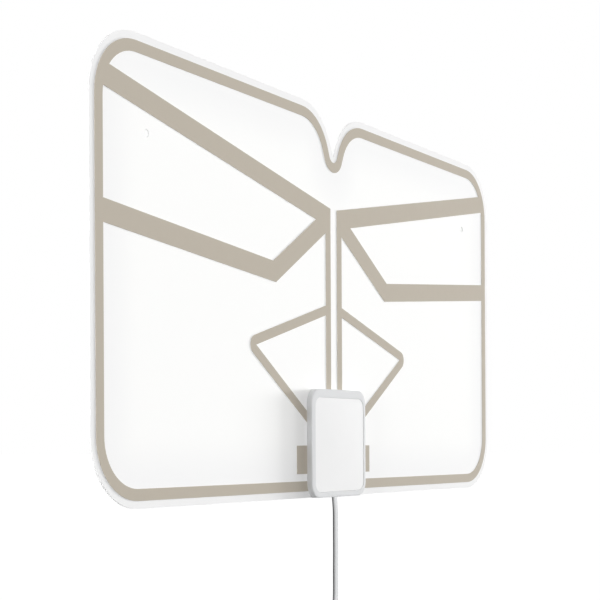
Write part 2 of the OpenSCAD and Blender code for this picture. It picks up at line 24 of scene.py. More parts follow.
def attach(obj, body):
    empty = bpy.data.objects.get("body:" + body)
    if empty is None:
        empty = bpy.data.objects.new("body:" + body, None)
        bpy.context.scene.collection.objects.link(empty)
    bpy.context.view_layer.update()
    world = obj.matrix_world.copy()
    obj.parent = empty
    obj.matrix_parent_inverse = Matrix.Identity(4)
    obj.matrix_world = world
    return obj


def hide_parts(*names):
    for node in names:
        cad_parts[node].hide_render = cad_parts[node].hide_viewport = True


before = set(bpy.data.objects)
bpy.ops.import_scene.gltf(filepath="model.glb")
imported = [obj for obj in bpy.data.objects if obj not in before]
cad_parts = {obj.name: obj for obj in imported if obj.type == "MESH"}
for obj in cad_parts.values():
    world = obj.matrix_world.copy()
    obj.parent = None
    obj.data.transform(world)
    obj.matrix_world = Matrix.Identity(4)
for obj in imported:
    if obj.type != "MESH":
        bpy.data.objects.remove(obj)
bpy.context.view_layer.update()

log = logging.getLogger("antenna")

Tree = bpy.types.NodeTree
Node = bpy.types.Node
Source = Union[Node, bpy.types.NodeSocket]
Thing = bpy.types.Object
Inputs = dict

MM = 0.001
BODY = "root"
SHARP_DEG = 35.0
WELD_M = 1e-7

MATH = "ShaderNodeMath"
VECTOR = "ShaderNodeVectorMath"
SPLIT = "ShaderNodeSeparateXYZ"
NOISE = "ShaderNodeTexNoise"
MIX = "ShaderNodeMix"
RANGE = "ShaderNodeMapRange"
# The scale of a noise whose coordinates already count in grains
UNSCALED = 1.0
# How far apart the bands of a wave texture of scale 1 are
WAVE_REPEAT = math.pi / 10


def linear(code: str) -> tuple[float, float, float, float]:
    """Turns an sRGB hex colour into the linear one that shaders take.

    Args:
        code: Six hex digits after a hash.

    Returns:
        Linear red, green, blue and an alpha of 1.
    """
    parts = [int(code[k : k + 2], 16) / 255 for k in (1, 3, 5)]
    curve = [c / 12.92 if c <= 0.04045 else ((c + 0.055) / 1.055) ** 2.4 for c in parts]
    return (*curve, 1.0)


def add_node(tree: Tree, kind: str, inputs: Optional[Inputs] = None, **settings: object) -> Node:
    """Adds a node with its settings, values and links.

    Args:
        tree: The tree that gets the node.
        kind: Blender's name of the node's type.
        inputs: For each input's name or number a value, an output socket, or
            a node, whose first live output is linked.
        **settings: The node's own properties.

    Returns:
        The new node.
    """
    made = tree.nodes.new(kind)
    for name, value in settings.items():
        setattr(made, name, value)
    for key, value in (inputs or {}).items():
        if isinstance(value, Node):
            value = next(socket for socket in value.outputs if socket.enabled)
        if isinstance(value, bpy.types.NodeSocket):
            tree.links.new(value, made.inputs[key])
        else:
            made.inputs[key].default_value = value
    return made


@dataclass(frozen=True)
class Finish(ABC):
    """What a surface is made of and how it was made.

    Attributes:
        name: The material's name.
        slot: The record's material slot; not used.
        colour: The colour as sRGB hex.
        roughness: The middle of the roughness.
        metallic: 1 for bare or plated metal.
        specular: Strength of the plain reflection, 0.5 being an IOR of 1.5.
        shade: The darker tone that the colour drifts to, where it drifts.
        spread: How far the roughness wanders to either side.
    """

    name: str
    slot: str
    colour: str
    roughness: float
    metallic: float = 0.0
    specular: float = 0.5
    shade: str = "#000000"
    spread: float = 0.05

    def material(self) -> bpy.types.Material:
        """Builds the finish as a material.

        Returns:
            The material, with its own pattern on the plain shader.
        """
        made = bpy.data.materials.new(self.name)
        made.use_nodes = True
        tree = made.node_tree
        tree.nodes.clear()
        plain = {"Metallic": self.metallic, "Specular IOR Level": self.specular}
        shader = add_node(tree, "ShaderNodeBsdfPrincipled", {**plain, **self.pattern(tree)})
        add_node(tree, "ShaderNodeOutputMaterial", {"Surface": shader})
        return made

    @abstractmethod
    def pattern(self, tree: Tree) -> Inputs:
        """Gives the shader's colour, roughness and normal; each kind has its own."""

    def place(self, tree: Tree, grain_mm: Sequence = (1.0, 1.0, 1.0)) -> Node:
        """Gives the piece's own coordinates, one unit for each grain size.

        Args:
            tree: The material's tree.
            grain_mm: Millimetres to a unit along X, Y and Z.

        Returns:
            The node that puts out the coordinates.
        """
        coords = add_node(tree, "ShaderNodeTexCoord")
        scale = tuple(1 / (size * MM) for size in grain_mm)
        return add_node(tree, "ShaderNodeMapping", {"Vector": coords.outputs["Object"], "Scale": scale})

    def drift(self, tree: Tree, share: Source) -> Node:
        """Mixes the shade and the colour by a pattern from 0 to 1."""
        ends = {"A": linear(self.shade), "B": linear(self.colour)}
        return add_node(tree, MIX, {"Factor": share, **ends}, data_type="RGBA")

    def surface(self, tree: Tree, height: Source, depth_mm: float, tone: Source, gloss: Source) -> Inputs:
        """Gathers the relief, the tone and the roughness.

        Args:
            tree: The material's tree.
            height: The relief's pattern, from 0 to 1.
            depth_mm: How deep the relief is.
            tone: The colour over the surface.
            gloss: The pattern from 0 to 1 that the roughness wanders with.

        Returns:
            The shader's inputs.
        """
        span = {"To Min": self.roughness - self.spread, "To Max": self.roughness + self.spread}
        return {
            "Base Color": tone,
            "Roughness": add_node(tree, RANGE, {"Value": gloss, **span}),
            "Normal": add_node(tree, "ShaderNodeBump", {"Height": height, "Distance": depth_mm * MM}),
        }


@dataclass(frozen=True)
class MouldedPlastic(Finish):
    """Plastic from a spark-eroded tool: an even, faintly pebbled satin skin.

    Real grain is about 0.1 mm across. It is drawn three times as coarse or
    more, so that the render shows it.
    """

    grain_mm: float = 0.35
    grain_depth_mm: float = 0.012
    flow_mm: float = 9.0
    flow_detail: float = 3.0

    def pattern(self, tree: Tree) -> Inputs:
        """Pebbled grain, and a tone that drifts a little where the melt flowed.

        Args:
            tree: The material's tree.

        Returns:
            The shader's inputs.
        """
        place = self.place(tree)
        grain = add_node(tree, NOISE, {"Vector": place, "Scale": 1 / self.grain_mm})
        size = {"Scale": 1 / self.flow_mm, "Detail": self.flow_detail}
        flow = add_node(tree, NOISE, {"Vector": place, **size})
        return self.surface(tree, grain, self.grain_depth_mm, self.drift(tree, flow), flow)


@dataclass(frozen=True)
class DrawnMetal(Finish):
    """Plated or bare metal strip, wire and turned parts.

    Drawing and turning lines are some hundredths of a millimetre apart, and
    are drawn 0.15 mm apart so that they show.
    """

    metallic: float = 1.0
    spread: float = 0.09
    line_mm: tuple = (0.15, 0.15, 2.5)
    line_depth_mm: float = 0.006
    cloud_mm: float = 1.8
    cloud_detail: float = 4.0

    def pattern(self, tree: Tree) -> Inputs:
        """Fine lines along the part, and a slightly cloudy plating.

        Args:
            tree: The material's tree.

        Returns:
            The shader's inputs.
        """
        lines = add_node(tree, NOISE, {"Vector": self.place(tree, self.line_mm), "Scale": UNSCALED})
        size = {"Scale": 1 / self.cloud_mm, "Detail": self.cloud_detail}
        cloud = add_node(tree, NOISE, {"Vector": self.place(tree), **size})
        return self.surface(tree, lines, self.line_depth_mm, self.drift(tree, cloud), lines)


@dataclass(frozen=True)
class SheetCut:
    """The film's outline, measured from its middle and its lower edge.

    The shoulder is the centre of the rounding beside the notch, and the root
    is the notch's lowest point. Outside the printed loop lies a bare border,
    and loop_end is how far from the edge the loop ends.
    """

    half_w: float = 185.0
    half_h: float = 95.0
    bottom_z: float = -151.0
    corner_r: float = 29.0
    shoulder: tuple[float, float] = (29.3, 161.0)
    shoulder_r: float = 29.0
    root: tuple[float, float] = (0.0, 167.6)
    border: float = 3.2
    loop_end: float = 8.0


@dataclass(frozen=True)
class FilmFinish(Finish):
    """Opaque white polyester, calendered satin, greyer in its bare border, with painted shade that darkens
    it inside the loop towards the loop's edges.
    """

    cut: SheetCut = SheetCut()
    border_tone: str = "#f1f1f1"
    # Painted shade: the film darkens to this tone towards the loop's edges.
    painted_shade_tone: str = "#f7f7f7"
    # How far in from the edge the painted shade reaches before the film is plain white.
    painted_shade_mm: float = 34.0
    peel_mm: float = 1.1
    peel_depth_mm: float = 0.004
    haze_mm: float = 24.0

    def edge_distance(self, tree: Tree, place: Node) -> Node:
        """Works out the distance to the film's edge in millimetres.

        For the rounded rectangle, q is |p - middle| less the corner centre.
        The distance is the corner radius, less the length of what of q is
        above 0, less the larger part of q where both are below 0. Beside the
        notch, above the line from the shoulder's centre to the notch's root,
        it is the shoulder's radius less the distance to its centre, and below
        that line it is the distance to the root. The least of them holds.

        Args:
            tree: The material's tree.
            place: The sheet's own coordinates in millimetres.

        Returns:
            The node that puts out the distance.
        """
        cut, add = self.cut, partial(add_node, tree)
        split = add(SPLIT, {"Vector": place})
        x = add(MATH, {0: split.outputs["X"]}, operation="ABSOLUTE")
        up = add(MATH, {0: split.outputs["Z"], 1: cut.bottom_z}, operation="SUBTRACT")
        flat = add("ShaderNodeCombineXYZ", {"X": x, "Y": up})
        middle = add(VECTOR, {0: flat, 1: (0.0, cut.half_h, 0.0)}, operation="SUBTRACT")
        folded = add(VECTOR, {0: middle}, operation="ABSOLUTE")
        core = (cut.half_w - cut.corner_r, cut.half_h - cut.corner_r, 0.0)
        past = add(VECTOR, {0: folded, 1: core}, operation="SUBTRACT")
        outer = add(VECTOR, {0: past, 1: (0.0, 0.0, 0.0)}, operation="MAXIMUM")
        beyond = add(VECTOR, {0: outer}, operation="LENGTH")
        sides = add(SPLIT, {"Vector": past})
        nearer = add(MATH, {0: sides.outputs["X"], 1: sides.outputs["Y"]}, operation="MAXIMUM")
        within = add(MATH, {0: nearer, 1: 0.0}, operation="MINIMUM")
        reach = add(MATH, {0: beyond, 1: within}, operation="ADD")
        sheet = add(MATH, {0: cut.corner_r, 1: reach}, operation="SUBTRACT")
        from_centre = add(VECTOR, {0: flat, 1: (*cut.shoulder, 0.0)}, operation="DISTANCE")
        shoulder = add(MATH, {0: cut.shoulder_r, 1: from_centre}, operation="SUBTRACT")
        root = add(VECTOR, {0: flat, 1: (*cut.root, 0.0)}, operation="DISTANCE")
        rise = (cut.root[1] - cut.shoulder[1]) / cut.shoulder[0]
        level = add(VECTOR, {0: flat, 1: (rise, 1.0, 0.0)}, operation="DOT_PRODUCT")
        above = add(MATH, {0: level, 1: cut.root[1]}, operation="GREATER_THAN")
        inside = add(MATH, {0: x, 1: cut.shoulder[0]}, operation="LESS_THAN")
        beside = add(MATH, {0: above, 1: inside}, operation="MULTIPLY")
        notch = add(MIX, {"Factor": beside, "A": root, "B": shoulder}, data_type="FLOAT")
        return add(MATH, {0: sheet, 1: notch}, operation="MINIMUM")

    def pattern(self, tree: Tree) -> Inputs:
        """A grey border, painted shade that darkens the film inside the loop towards its edges, and the
        roll's faint peel.

        Args:
            tree: The material's tree.

        Returns:
            The shader's inputs.
        """
        place = self.place(tree)
        distance = self.edge_distance(tree, place)
        span = {"Value": distance, "From Min": self.cut.loop_end, "From Max": self.painted_shade_mm}
        # Painted shade: the colour goes from the shade tone at the loop to the film's white further in.
        painted_shade = add_node(tree, RANGE, span, interpolation_type="SMOOTHERSTEP")
        middle = {"Factor": painted_shade, "A": linear(self.painted_shade_tone), "B": linear(self.colour)}
        inner = add_node(tree, MIX, middle, data_type="RGBA")
        under_loop = (self.cut.border + self.cut.loop_end) / 2
        rim = add_node(tree, MATH, {0: distance, 1: under_loop}, operation="LESS_THAN")
        edge = {"Factor": rim, "A": inner, "B": linear(self.border_tone)}
        tone = add_node(tree, MIX, edge, data_type="RGBA")
        peel = add_node(tree, NOISE, {"Vector": place, "Scale": 1 / self.peel_mm})
        haze = add_node(tree, NOISE, {"Vector": place, "Scale": 1 / self.haze_mm})
        return self.surface(tree, peel, self.peel_depth_mm, tone, haze)


@dataclass(frozen=True)
class PrintedFoil(Finish):
    """Conductor laid down through a screen: flat beige lacquer on aluminium.

    A real screen has threads about 0.1 mm apart. They are drawn 0.7 mm apart,
    so that they show.
    """

    mesh_mm: float = 0.7
    mesh_depth_mm: float = 0.003
    waver: float = 0.4
    lay_mm: float = 5.0
    lay_detail: float = 4.0
    dust_mm: float = 2.0

    def pattern(self, tree: Tree) -> Inputs:
        """The screen's weave as faint relief, and a slightly uneven lay of ink.

        Args:
            tree: The material's tree.

        Returns:
            The shader's inputs.
        """
        place = self.place(tree)
        threads = {"Vector": place, "Scale": WAVE_REPEAT / self.mesh_mm, "Distortion": self.waver}
        weave = add_node(tree, "ShaderNodeTexWave", threads, bands_direction="DIAGONAL").outputs["Fac"]
        size = {"Scale": 1 / self.lay_mm, "Detail": self.lay_detail}
        lay = add_node(tree, NOISE, {"Vector": place, **size})
        dust = add_node(tree, NOISE, {"Vector": place, "Scale": 1 / self.dust_mm})
        return self.surface(tree, weave, self.mesh_depth_mm, self.drift(tree, lay), dust)


@dataclass(frozen=True)
class ExtrudedJacket(Finish):
    """Soft PVC drawn over the lead: long fine die lines and a low sheen."""

    line_mm: float = 0.4
    run_mm: float = 15.0
    line_depth_mm: float = 0.01
    line_detail: float = 3.0

    def pattern(self, tree: Tree) -> Inputs:
        """Die lines that follow the lead, read from its own attribute.

        Args:
            tree: The material's tree.

        Returns:
            The shader's inputs.
        """
        run = add_node(tree, "ShaderNodeAttribute", attribute_name="lead_run")
        scale = (1 / self.line_mm, 1 / self.line_mm, 1 / self.run_mm)
        along = add_node(tree, "ShaderNodeMapping", {"Vector": run.outputs["Vector"], "Scale": scale})
        lines = add_node(tree, NOISE, {"Vector": along, "Scale": UNSCALED, "Detail": self.line_detail})
        return self.surface(tree, lines, self.line_depth_mm, self.drift(tree, lines), lines)


@dataclass(frozen=True)
class SolderMask(Finish):
    """Green lacquer on glass laminate, with the copper tracks just under it."""

    track_per_mm: float = 0.35
    track_gap: float = 0.04
    track_depth_mm: float = 0.03

    def pattern(self, tree: Tree) -> Inputs:
        """Tracks that stand up under the lacquer and show through it.

        Args:
            tree: The material's tree.

        Returns:
            The shader's inputs.
        """
        grid = {"Vector": self.place(tree), "Scale": self.track_per_mm, "Mortar Size": self.track_gap}
        tracks = add_node(tree, "ShaderNodeTexBrick", grid).outputs["Fac"]
        return self.surface(tree, tracks, self.track_depth_mm, self.drift(tree, tracks), tracks)


@dataclass(frozen=True)
class FiredCeramic(Finish):
    """Sintered bodies of cores and chips: matt, with a fine tooth."""

    grain_mm: float = 0.2
    grain_depth_mm: float = 0.01
    grain_detail: float = 3.0

    def pattern(self, tree: Tree) -> Inputs:
        """Sinter grain as relief and as a faint speckle.

        Args:
            tree: The material's tree.

        Returns:
            The shader's inputs.
        """
        size = {"Scale": 1 / self.grain_mm, "Detail": self.grain_detail}
        grain = add_node(tree, NOISE, {"Vector": self.place(tree), **size})
        return self.surface(tree, grain, self.grain_depth_mm, self.drift(tree, grain), grain)


# Calendered polyester film: a satin white that hardly reflects, greyer at its bare rim, with painted shade
# darkening it inside the loop near its edges.
FILM = FilmFinish("polyester_film_calendered", "film", "#fdfdfc", 0.55, specular=0.3)
# Screen-printed lacquer on foil: flat warm beige without a metal glint.
PRINT = PrintedFoil(
    "screen_printed_foil", "printed_conductor", "#b9b1a4", 0.5, specular=0.3, shade="#b6aea1"
)
# ABS moulded in a spark-eroded tool: cool pale grey, satin, soft highlights on the rim.
SHELL = MouldedPlastic("abs_shell_moulded", "shell_plastic", "#dedfe0", 0.45, shade="#dbdcdd", spread=0.06)
# ABS moulded in a smoother tool: a lighter, calmer panel than the shell round it.
INLAY = MouldedPlastic(
    "abs_inlay_moulded",
    "inlay_plastic",
    "#f2f2f2",
    0.36,
    shade="#f0f0f0",
    grain_mm=0.5,
    grain_depth_mm=0.004,
)
# Zinc-plated steel: bluish grey, cloudy, with a dull glint in the screw heads.
ZINC = DrawnMetal("steel_screw_zinc_plated", "plated_steel", "#b9bcc0", 0.36, shade="#a9adb2")
# Tinned steel sheet: bright silver grey with soft, broad reflections.
TIN = DrawnMetal("steel_can_tinned", "tinned_steel", "#c4c6c8", 0.33, shade="#b4b7ba")
# Phosphor bronze strip, bare: warm golden sheen along the rolling direction.
BRONZE = DrawnMetal("phosphor_bronze_strip", "spring_bronze", "#d9b36a", 0.31, shade="#c79f58")
# Bare copper wire: reddish, drawn, with fine bright lines.
COPPER = DrawnMetal("copper_wire_bare", "copper", "#b9743f", 0.36, shade="#a8632f")
# Turned brass with nickel plating: bright, with turning lines that run round it.
NICKEL = DrawnMetal(
    "brass_contact_nickel_plated",
    "plug_nickel",
    "#c9cacb",
    0.23,
    shade="#bcbec0",
    spread=0.05,
    line_mm=(2.0, 2.0, 0.12),
)
# Solder mask on glass laminate: deep green lacquer with the tracks showing through.
BOARD = SolderMask("glass_laminate_solder_mask", "circuit_board", "#2f6b4a", 0.4, shade="#255a3d")
# Moulded epoxy: near black and matt, with a fine pebble.
CHIP = MouldedPlastic("epoxy_chip_moulded", "chip_resin", "#26282b", 0.5, shade="#202225")
# Sintered ferrite: dark grey, dry and slightly speckled.
FERRITE = FiredCeramic("ferrite_sintered", "ferrite", "#3c3d40", 0.6, shade="#343538")
# Fired capacitor ceramic: tan and matt.
CAPACITOR = FiredCeramic("capacitor_ceramic_fired", "capacitor_ceramic", "#b08b5e", 0.5, shade="#a58053")
# Fired inductor ceramic: mid grey and matt.
INDUCTOR = FiredCeramic("inductor_ceramic_fired", "inductor_ceramic", "#8f9499", 0.5, shade="#84898e")
# Extruded polyethylene: milky white with a waxy gloss.
INSULATION = MouldedPlastic(
    "polyethylene_insulation_extruded", "cable_insulation", "#f2f2ee", 0.4, shade="#ecece6", grain_mm=1.0
)
# Extruded PVC jacket: matt light grey that keeps clear shading on a thin lead.
JACKET = ExtrudedJacket(
    "pvc_jacket_extruded", "cable_jacket", "#dfe0e1", 0.6, specular=0.0, shade="#d9dadb"
)
# Moulded nylon strap: a darker, duller grey than the lead that it holds.
TIE = MouldedPlastic("nylon_tie_moulded", "tie_plastic", "#c9cacb", 0.5, shade="#c2c3c4")
# Moulded PVC grip: pale grey and satin, with light caught by the grooves.
PLUG = MouldedPlastic("pvc_plug_moulded", "plug_plastic", "#e0e1e2", 0.5, shade="#dadbdc")

# The small parts that keep their CAD shapes, and what each is made of
PLAIN_NODES = {
    "housing_screws": ZINC,
    "amplifier_board": BOARD,
    "contact_spring_left": BRONZE,
    "contact_spring_right": BRONZE,
    "shield_can": TIN,
    "amplifier_chip": CHIP,
    "balun_core": FERRITE,
    "balun_windings": COPPER,
    "chip_capacitors": CAPACITOR,
    "chip_inductors": INDUCTOR,
    "braid_clamp": BRONZE,
    "cable_ferrule": ZINC,
    "cable_braid": COPPER,
    "cable_dielectric": INSULATION,
    "cable_conductor": COPPER,
}


class Wardrobe:
    """Makes each finish once and puts it on pieces."""

    def __init__(self) -> None:
        """Starts with nothing made."""
        self.made: dict[str, bpy.types.Material] = {}

    def dress(self, piece: Thing, finish: Finish) -> Thing:
        """Gives a piece its material.

        Args:
            piece: A new piece or a CAD node's object.
            finish: What it is made of.

        Returns:
            The piece.
        """
        if finish.name not in self.made:
            self.made[finish.name] = finish.material()
        piece.data.materials.clear()
        piece.data.materials.append(self.made[finish.name])
        return piece


class Shaping(Enum):
    """How one shape changes another."""

    ADD = "UNION"
    CUT = "DIFFERENCE"


def piece_from(name: str, points: np.ndarray, faces: list, sharp_deg: float = SHARP_DEG) -> Thing:
    """Makes an object at the origin from points in millimetres.

    Args:
        name: The piece's name.
        points: An array of n points by 3.
        faces: Lists of point numbers.
        sharp_deg: Edges that turn by more than this stay sharp.

    Returns:
        The object, with its faces turned outwards.
    """
    mesh = bpy.data.meshes.new(name)
    mesh.from_pydata((points * MM).tolist(), [], faces)
    work = bmesh.new()
    work.from_mesh(mesh)
    bmesh.ops.remove_doubles(work, verts=work.verts, dist=WELD_M)
    bmesh.ops.recalc_face_normals(work, faces=work.faces)
    work.to_mesh(mesh)
    work.free()
    mesh.shade_smooth()
    mesh.set_sharp_from_angle(angle=math.radians(sharp_deg))
    piece = bpy.data.objects.new(name, mesh)
    bpy.context.scene.collection.objects.link(piece)
    return piece


def grid_faces(rows: int, columns: int, closed_rows: bool = False) -> list:
    """Faces of a grid of points whose every row is a closed ring.

    Args:
        rows: How many rings there are.
        columns: How many points a ring has.
        closed_rows: Whether the last ring joins the first.

    Returns:
        Four point numbers for each face.
    """
    row = np.arange(rows if closed_rows else rows - 1)[:, None]
    column = np.arange(columns)[None, :]
    after, beside = (row + 1) % rows, (column + 1) % columns
    corners = [
        row * columns + column,
        row * columns + beside,
        after * columns + beside,
        after * columns + column,
    ]
    return np.stack(np.broadcast_arrays(*corners), -1).reshape(-1, 4).tolist()


def lofted(name: str, rings: np.ndarray, sharp_deg: float = SHARP_DEG) -> Thing:
    """Joins closed rings of equally many points, and closes both ends.

    Args:
        name: The piece's name.
        rings: An array of rings by points by 3.
        sharp_deg: Edges that turn by more than this stay sharp.

    Returns:
        The lofted piece.
    """
    rows, columns = rings.shape[:2]
    faces = grid_faces(rows, columns)
    faces.append(list(range(columns))[::-1])
    faces.append(list(range((rows - 1) * columns, rows * columns)))
    return piece_from(name, rings.reshape(-1, 3), faces, sharp_deg)


def turned(name: str, profile: Sequence, axis_xy: tuple, top_z: float, sides: int = 64) -> Thing:
    """Turns a closed profile about an upright axis.

    A point at radius r and depth d below top_z goes to
    (x + r cos a, y + r sin a, top_z - d) for every angle a.

    Args:
        name: The piece's name.
        profile: Points of (radius, depth), as a closed loop.
        axis_xy: Where the axis stands.
        top_z: Height that depths are counted down from.
        sides: Points round the axis.

    Returns:
        The turned piece.
    """
    section = np.array(profile, float)
    angle = np.linspace(0, 2 * np.pi, sides, endpoint=False)
    radius, depth = section[:, :1], section[:, 1:]
    x = axis_xy[0] + radius * np.cos(angle)
    y = axis_xy[1] + radius * np.sin(angle)
    points = np.stack(np.broadcast_arrays(x, y, top_z - depth), -1)
    return piece_from(name, points.reshape(-1, 3), grid_faces(len(section), sides, closed_rows=True))


def eased(profile: Sequence, radius: float, steps: int = 4, most: float = 0.45) -> np.ndarray:
    """Rounds each corner of a closed profile with a short curve.

    Each corner p becomes a quadratic curve from p + r u to p + r v, where u
    and v point to its neighbours and r is at most a share of either side.
    A corner on the axis stays as it is.

    Args:
        profile: Points of (radius, depth), as a closed loop.
        radius: How far the curve starts from the corner.
        steps: Points on each curve.
        most: The largest share of a side that a curve may take.

    Returns:
        The rounded profile.
    """
    points = np.array(profile, float)
    before, after = np.roll(points, 1, 0) - points, np.roll(points, -1, 0) - points
    size_before = np.linalg.norm(before, axis=1, keepdims=True)
    size_after = np.linalg.norm(after, axis=1, keepdims=True)
    reach = np.minimum(radius, most * np.minimum(size_before, size_after))
    start = (points + before / size_before * reach)[:, None]
    end = (points + after / size_after * reach)[:, None]
    t = np.linspace(0, 1, steps)[None, :, None]
    curve = (1 - t) ** 2 * start + 2 * t * (1 - t) * points[:, None] + t**2 * end
    on_axis = points[:, 0] == 0
    curve[on_axis] = points[on_axis][:, None]
    return curve.reshape(-1, 2)


def rounded_ring(low: tuple, high: tuple, radius: float, y: float, steps: int = 14) -> np.ndarray:
    """Points of a rounded rectangle in the XZ plane at depth y.

    Each corner is an arc c + r (cos a, sin a) about a centre c that lies one
    radius inside both sides, so rings of different sizes match point by point.

    Args:
        low: The lowest x and z.
        high: The highest x and z.
        radius: Radius of the corners.
        y: The ring's depth.
        steps: Points on each corner.

    Returns:
        An array of points by 3.
    """
    angle = np.radians(np.linspace(0, 90, steps))[None, :] + np.radians([180, 270, 0, 90])[:, None]
    left, right = low[0] + radius, high[0] - radius
    x = np.array([left, right, right, left])[:, None] + radius * np.cos(angle)
    bottom, top = low[1] + radius, high[1] - radius
    z = np.array([bottom, bottom, top, top])[:, None] + radius * np.sin(angle)
    return np.stack([x, np.full_like(x, y), z], -1).reshape(-1, 3)


def drum(centre: tuple, radius: float, ends: tuple, upright: bool = False, sides: int = 48) -> Thing:
    """A plain round tool for adding or cutting, as two rings c + r (cos a, sin a).

    Args:
        centre: Its axis as (x, z), or as (x, y) where it is upright.
        radius: Its radius.
        ends: Where it starts and ends along Y, or along Z where it is upright.
        upright: Whether it stands along Z.
        sides: Points round it.

    Returns:
        The tool.
    """
    angle = np.linspace(0, 2 * np.pi, sides, endpoint=False)[None, :]
    x, other = centre[0] + radius * np.cos(angle), centre[1] + radius * np.sin(angle)
    along = np.array(ends, float)[:, None]
    parts = (x, other, along) if upright else (x, along, other)
    return lofted("tool", np.stack(np.broadcast_arrays(*parts), -1))


def shape(piece: Thing, tools: Iterable[Thing], how: Shaping) -> None:
    """Adds tools to a piece or cuts them out of it, and deletes them.

    Args:
        piece: The piece that changes.
        tools: What is added or cut.
        how: Which of the two.
    """
    for tool in tools:
        change = piece.modifiers.new("shape", "BOOLEAN")
        change.object, change.operation, change.solver = tool, how.value, "EXACT"
        bpy.context.view_layer.update()
        graph = bpy.context.evaluated_depsgraph_get()
        piece.data = bpy.data.meshes.new_from_object(piece.evaluated_get(graph), depsgraph=graph)
        piece.modifiers.clear()
        piece.data.name = piece.name
        bpy.data.objects.remove(tool)
    piece.data.shade_smooth()
    piece.data.set_sharp_from_angle(angle=math.radians(SHARP_DEG))


@dataclass
class FilmSheet:
    """The film and what is printed on it, which keep their CAD shapes."""

    wardrobe: Wardrobe

    def build(self) -> list[Thing]:
        """Dresses the three flat nodes and returns them."""
        looks = {"carrier_film": FILM, "printed_element": PRINT, "coupling_patches": PRINT}
        return [self.wardrobe.dress(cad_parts[name], finish) for name, finish in looks.items()]


